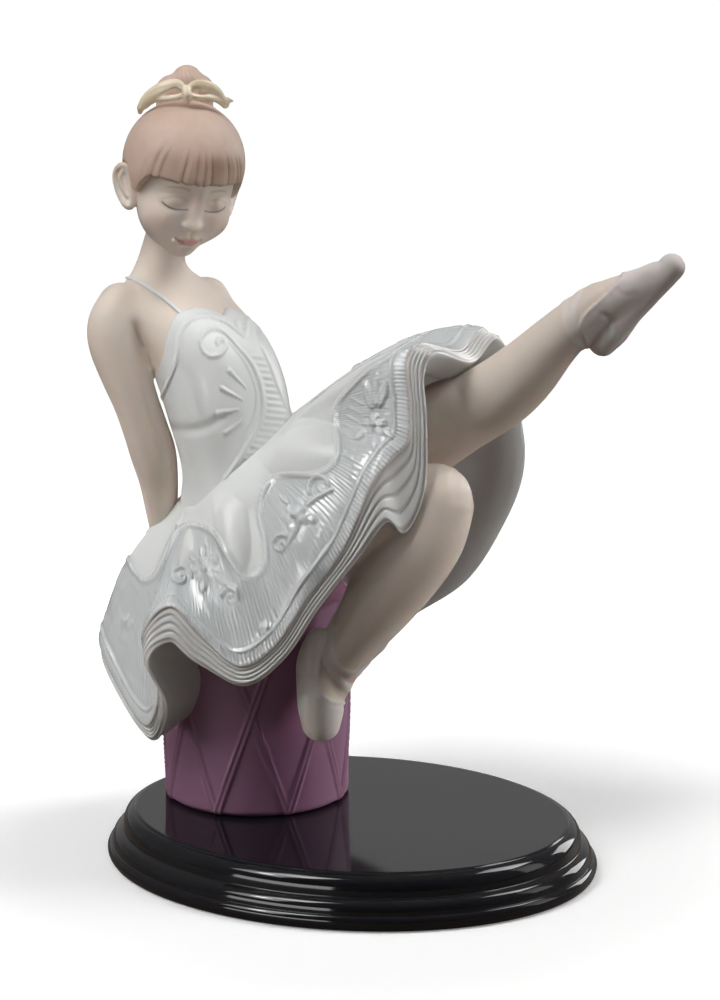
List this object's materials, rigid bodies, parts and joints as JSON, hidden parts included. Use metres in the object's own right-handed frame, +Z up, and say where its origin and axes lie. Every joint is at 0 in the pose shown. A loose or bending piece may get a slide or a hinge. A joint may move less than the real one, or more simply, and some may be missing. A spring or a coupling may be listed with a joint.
{
  "type": "dancer figurine",
  "caption": "Porcelain figurine of a seated dancer in a full lace skirt, leaning back on a laced drum with a leg raised, on a black oval base.",
  "frame": {"origin": "centre of the oval base's underside", "axes": "+Z up, +X along the base's long axis towards the raised foot's end, +Y away from the figure's open side"},
  "size_m": [0.1741, 0.1255, 0.2381],
  "materials": {
    "porcelain": "bisque with glazed lace",
    "black_lacquer": "black gloss lacquer"
  },
  "bodies": {
    "root": {"figure": "porcelain", "base": "black_lacquer"}
  },
  "joints": []
}
